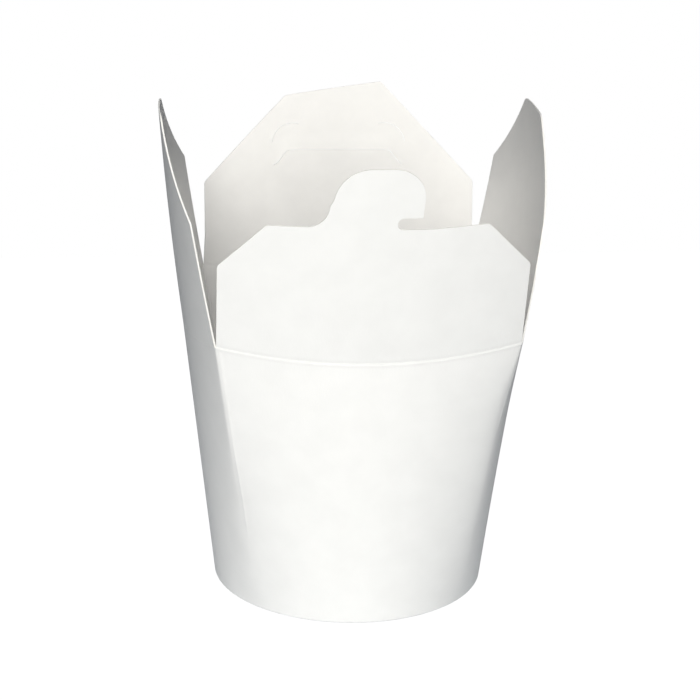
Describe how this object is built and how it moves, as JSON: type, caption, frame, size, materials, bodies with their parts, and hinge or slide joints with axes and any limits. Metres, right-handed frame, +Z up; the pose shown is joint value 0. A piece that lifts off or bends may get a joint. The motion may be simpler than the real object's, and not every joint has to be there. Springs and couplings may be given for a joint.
{
  "type": "noodle takeaway box",
  "caption": "Open, empty white paperboard noodle box with a round foot, a squared rim and hinged closing flaps, one with a hook tab.",
  "frame": {"origin": "bottom centre of the box's whole extent, on the surface it stands on; the round foot's centre is 2.5 mm to +X and 2.9 mm to +Y of it, because the flaps lean unevenly", "axes": "+Z up, -Y towards the flap with the hook tab, +X to the right seen from that side"},
  "size_m": [0.12, 0.1262, 0.1584],
  "materials": {
    "board": "matte"
  },
  "bodies": {
    "box": {"wall": "board", "floor": "board"},
    "front": {"flap_front": "board"},
    "back": {"flap_back": "board"},
    "left": {"flap_left": "board"},
    "right": {"flap_right": "board"}
  },
  "joints": [
    {"name": "fold_front", "type": "hinge", "parent": "box", "child": "front", "pos_m": [0.00252, -0.04364, 0.095], "axis": [-1, 0, 0], "range_deg": [0, 76]},
    {"name": "fold_back", "type": "hinge", "parent": "box", "child": "back", "pos_m": [0.00252, 0.04936, 0.095], "axis": [1, 0, 0], "range_deg": [0, 79]},
    {"name": "fold_left", "type": "hinge", "parent": "box", "child": "left", "pos_m": [-0.04398, 0.00286, 0.0943], "axis": [0, 1, 0], "range_deg": [0, 103]},
    {"name": "fold_right", "type": "hinge", "parent": "box", "child": "right", "pos_m": [0.04902, 0.00286, 0.0943], "axis": [0, -1, 0], "range_deg": [0, 92]}
  ]
}
